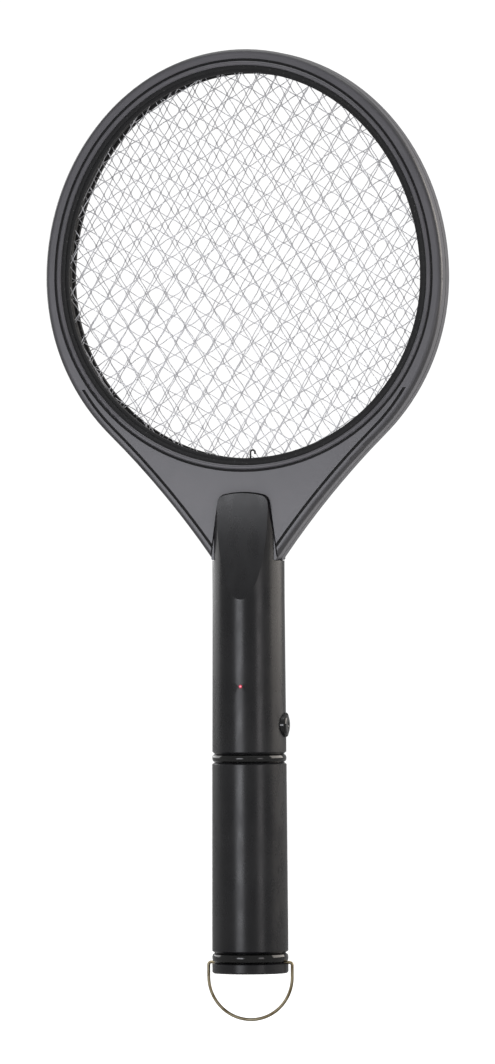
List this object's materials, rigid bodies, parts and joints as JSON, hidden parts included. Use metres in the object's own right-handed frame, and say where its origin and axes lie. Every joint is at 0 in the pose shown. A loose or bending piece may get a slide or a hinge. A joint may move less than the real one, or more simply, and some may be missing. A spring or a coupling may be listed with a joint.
{
  "type": "electric fly swatter",
  "caption": "Racket-shaped electric fly swatter: oval head with layered wire meshes, round handle, side push button, screw-off battery tube and wire hanging loop.",
  "frame": {"origin": "on the handle's axis at the joint between handle and battery tube, where the hand grips", "axes": "+Z along the handle towards the head, -Y out of the front face, +X towards the push button"},
  "size_m": [0.22, 0.0412, 0.5245],
  "materials": {
    "frame_plastic": "fine satin moulded",
    "handle_plastic": "satin moulded",
    "gloss_black": "polished",
    "mesh_metal": "bright expanded sheet",
    "spacer_plastic": "plain moulded",
    "screw_steel": "zinc plated",
    "board_green": "solder resist",
    "ferrite": "pressed and fired",
    "copper_winding": "enamelled wire",
    "dipped_red": "dipped resin",
    "component_black": "moulded",
    "component_tan": "lacquered",
    "led_red": "clear tinted",
    "spring_steel": "nickel plated",
    "cell_can": "wrapped can",
    "loop_brass": "dulled wire",
    "lead_insulation": "pvc covered wire"
  },
  "bodies": {
    "handle": {"frame_front_shell": "frame_plastic", "frame_rear_shell": "frame_plastic", "frame_screws": "screw_steel", "front_mesh": "mesh_metal", "centre_mesh": "mesh_metal", "rear_mesh": "mesh_metal", "mesh_spacer_front": "spacer_plastic", "mesh_spacer_rear": "spacer_plastic", "contact_hook": "component_black", "mesh_leads": "lead_insulation", "handle_front_shell": "handle_plastic", "handle_rear_shell": "handle_plastic", "handle_screws": "screw_steel", "threaded_collar": "handle_plastic", "circuit_board": "board_green", "transformer_core": "ferrite", "transformer_coil": "copper_winding", "high_voltage_capacitor": "dipped_red", "transistor": "component_black", "diodes": "component_black", "resistors": "component_tan", "indicator_led": "led_red", "switch_body": "component_black", "battery_leads": "lead_insulation", "battery_contact_plate": "spring_steel", "button_bezel": "gloss_black", "button_spring": "spring_steel"},
    "push_button": {"push_button": "gloss_black"},
    "joint_ring": {"joint_ring": "gloss_black"},
    "battery_tube": {"battery_tube": "handle_plastic", "tail_ring": "gloss_black", "tail_cap": "handle_plastic", "battery_upper": "cell_can", "battery_lower": "cell_can", "battery_spring": "spring_steel", "contact_strip": "spring_steel"},
    "hanging_loop": {"hanging_loop": "loop_brass"}
  },
  "joints": [
    {"name": "push_button_press", "type": "slide", "parent": "handle", "child": "push_button", "axis": [-1, 0, 0], "range_m": [0, 0.0015], "stiffness_N_per_m": 400, "springref_m": -0.002, "deforming": ["button_spring"]},
    {"name": "battery_tube_travel", "type": "slide", "parent": "handle", "child": "joint_ring", "axis": [0, 0, -1], "range_m": [0, 0.009]},
    {"name": "battery_tube_twist", "type": "hinge", "parent": "joint_ring", "child": "battery_tube", "pos_m": [0, 0, -0.003], "axis": [0, 0, -1], "range_deg": [0, 1080]},
    {"name": "hanging_loop_swing", "type": "hinge", "parent": "battery_tube", "child": "hanging_loop", "pos_m": [0, 0, -0.1105], "axis": [1, 0, 0], "range_deg": [-132, 132]}
  ],
  "couplings": [
    {"joint": "battery_tube_travel", "follows": "battery_tube_twist", "m_per_rad": 0.00047746}
  ]
}
